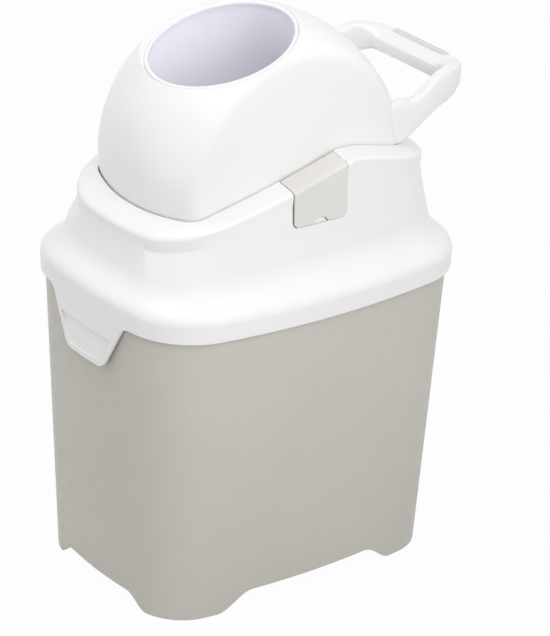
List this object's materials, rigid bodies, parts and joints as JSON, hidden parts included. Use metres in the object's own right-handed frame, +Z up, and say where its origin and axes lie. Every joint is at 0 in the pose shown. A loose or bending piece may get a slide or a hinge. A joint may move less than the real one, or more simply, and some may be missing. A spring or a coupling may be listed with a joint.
{
  "type": "nappy bin",
  "caption": "Tapered nursery waste bin: a lift-off lid with a roofed collar, a drum that tips over by its handle, a chute closed by a sliding piston, and side clips.",
  "frame": {"origin": "centre of the bin's bounding box on the floor", "axes": "+Z up, -Y to the front with the mouth and lift tab, +Y to the handle at the back, +X to the right seen from the back"},
  "size_m": [0.277, 0.3872, 0.5451],
  "materials": {
    "taupe_plastic": "satin, fine grain",
    "white_plastic": "gloss",
    "clip_plastic": "satin",
    "pad_rubber": "soft matt",
    "chute_plastic": "smooth satin",
    "seal_rubber": "matt",
    "pin_steel": "brushed"
  },
  "bodies": {
    "bin": {"bucket": "taupe_plastic"},
    "lid": {"lid_shell": "white_plastic", "lid_gasket": "seal_rubber", "saddle_left": "clip_plastic", "saddle_right": "clip_plastic", "clip_pin_left": "pin_steel", "clip_pin_right": "pin_steel"},
    "drum": {"drum_shell_upper": "white_plastic", "drum_shell_lower": "white_plastic", "chute_tube": "chute_plastic", "trunnion_left": "white_plastic", "trunnion_right": "white_plastic", "handle": "white_plastic", "grip_pad": "pad_rubber"},
    "piston": {"piston_body": "white_plastic", "piston_cap_upper": "chute_plastic", "piston_cap_lower": "chute_plastic", "piston_ring_upper": "seal_rubber", "piston_ring_lower": "seal_rubber"},
    "clip_left": {"clip_left": "clip_plastic"},
    "clip_right": {"clip_right": "clip_plastic"}
  },
  "joints": [
    {"name": "lid_lift", "type": "slide", "parent": "bin", "child": "lid", "axis": [0, 0, 1], "range_m": [0, 0.08]},
    {"name": "drum_flip", "type": "hinge", "parent": "lid", "child": "drum", "pos_m": [0, -0.01287, 0.415], "axis": [1, 0, 0], "range_deg": [0, 162]},
    {"name": "piston_slide", "type": "slide", "parent": "drum", "child": "piston", "axis": [0, -0.309, 0.9511], "range_m": [0, 0.171]},
    {"name": "clip_left_open", "type": "hinge", "parent": "lid", "child": "clip_left", "pos_m": [-0.0906, -0.01188, 0.42235], "axis": [0, 0.963, 0.2696], "range_deg": [0, 30]},
    {"name": "clip_right_open", "type": "hinge", "parent": "lid", "child": "clip_right", "pos_m": [0.0906, -0.01188, 0.42235], "axis": [0, -0.963, -0.2696], "range_deg": [0, 30]}
  ]
}
